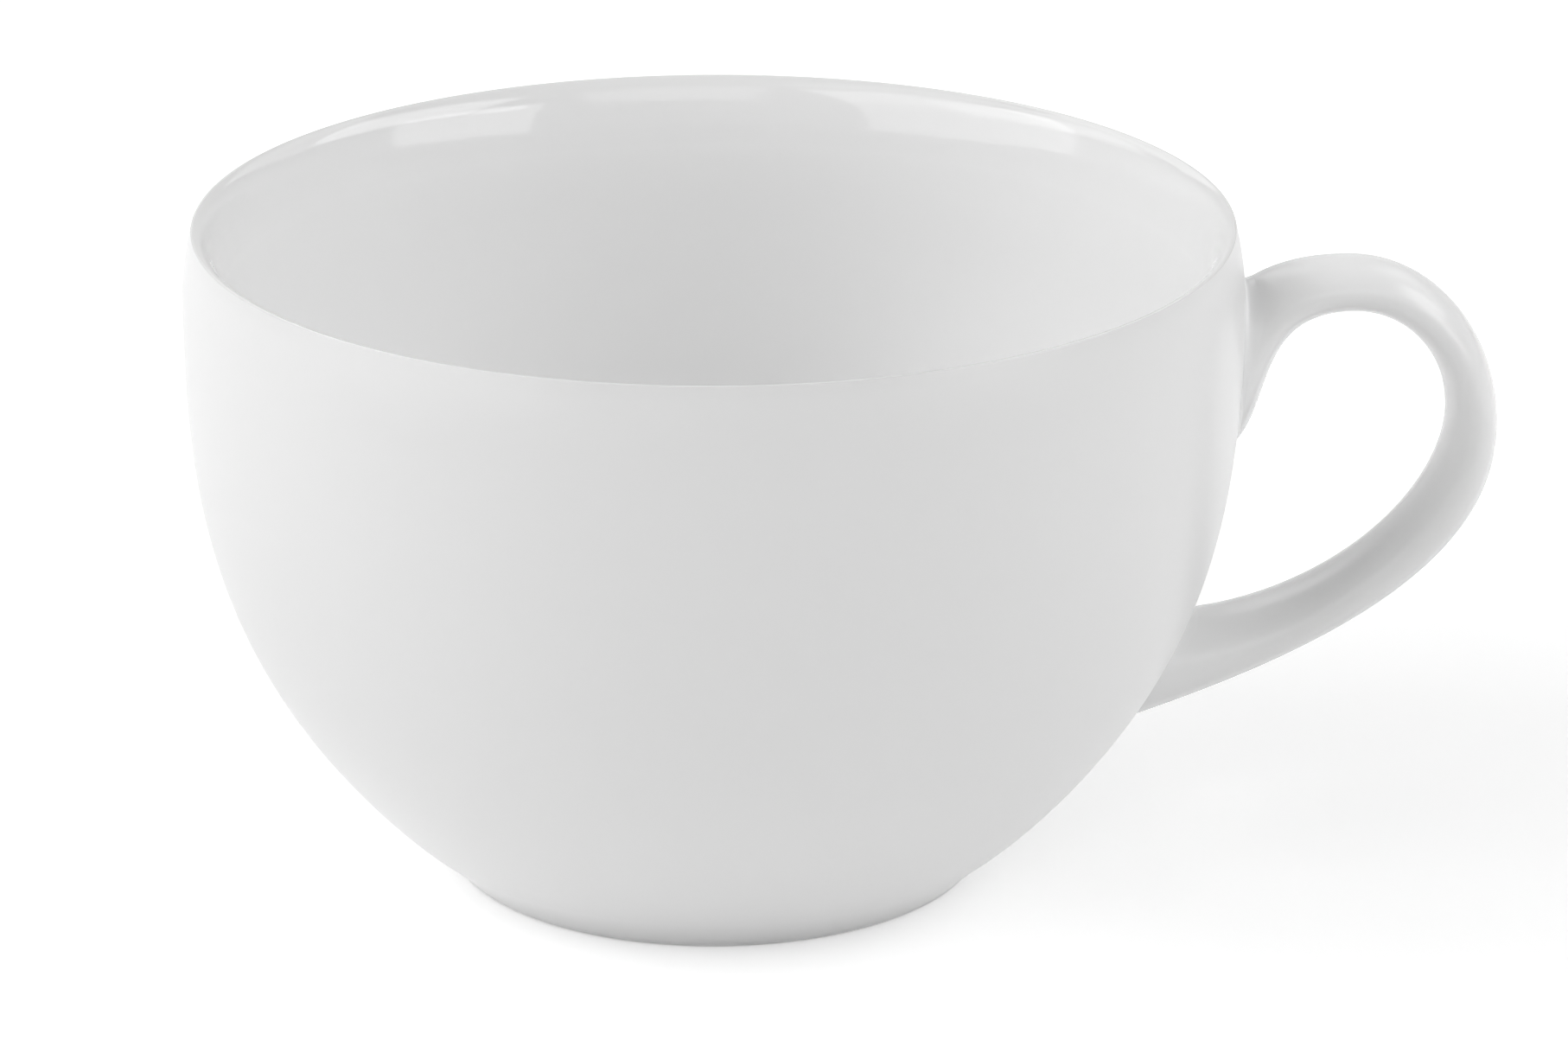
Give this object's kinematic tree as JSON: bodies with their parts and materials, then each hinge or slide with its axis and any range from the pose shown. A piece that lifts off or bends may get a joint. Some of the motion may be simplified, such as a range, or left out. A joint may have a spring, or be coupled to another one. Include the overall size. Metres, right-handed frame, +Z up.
{
  "type": "tea cup",
  "caption": "Rounded white porcelain tea cup with a gently in-turned lip, a low turned foot and a loop handle that flares where it joins the wall.",
  "frame": {"origin": "on the table under the middle of the bounding box, between the bowl's axis and the handle", "axes": "+Z up along the bowl's axis, +X from the bowl towards the handle, +Y to the far side with the handle on the right"},
  "size_m": [0.1284, 0.103, 0.0654],
  "materials": {
    "white_glaze": "clear glossy glaze over white porcelain",
    "bare_porcelain": "unglazed white porcelain, smooth and matt"
  },
  "bodies": {
    "root": {"bowl": "white_glaze", "handle": "white_glaze", "upper_slip_joint": "bare_porcelain", "lower_slip_joint": "bare_porcelain"}
  },
  "joints": []
}
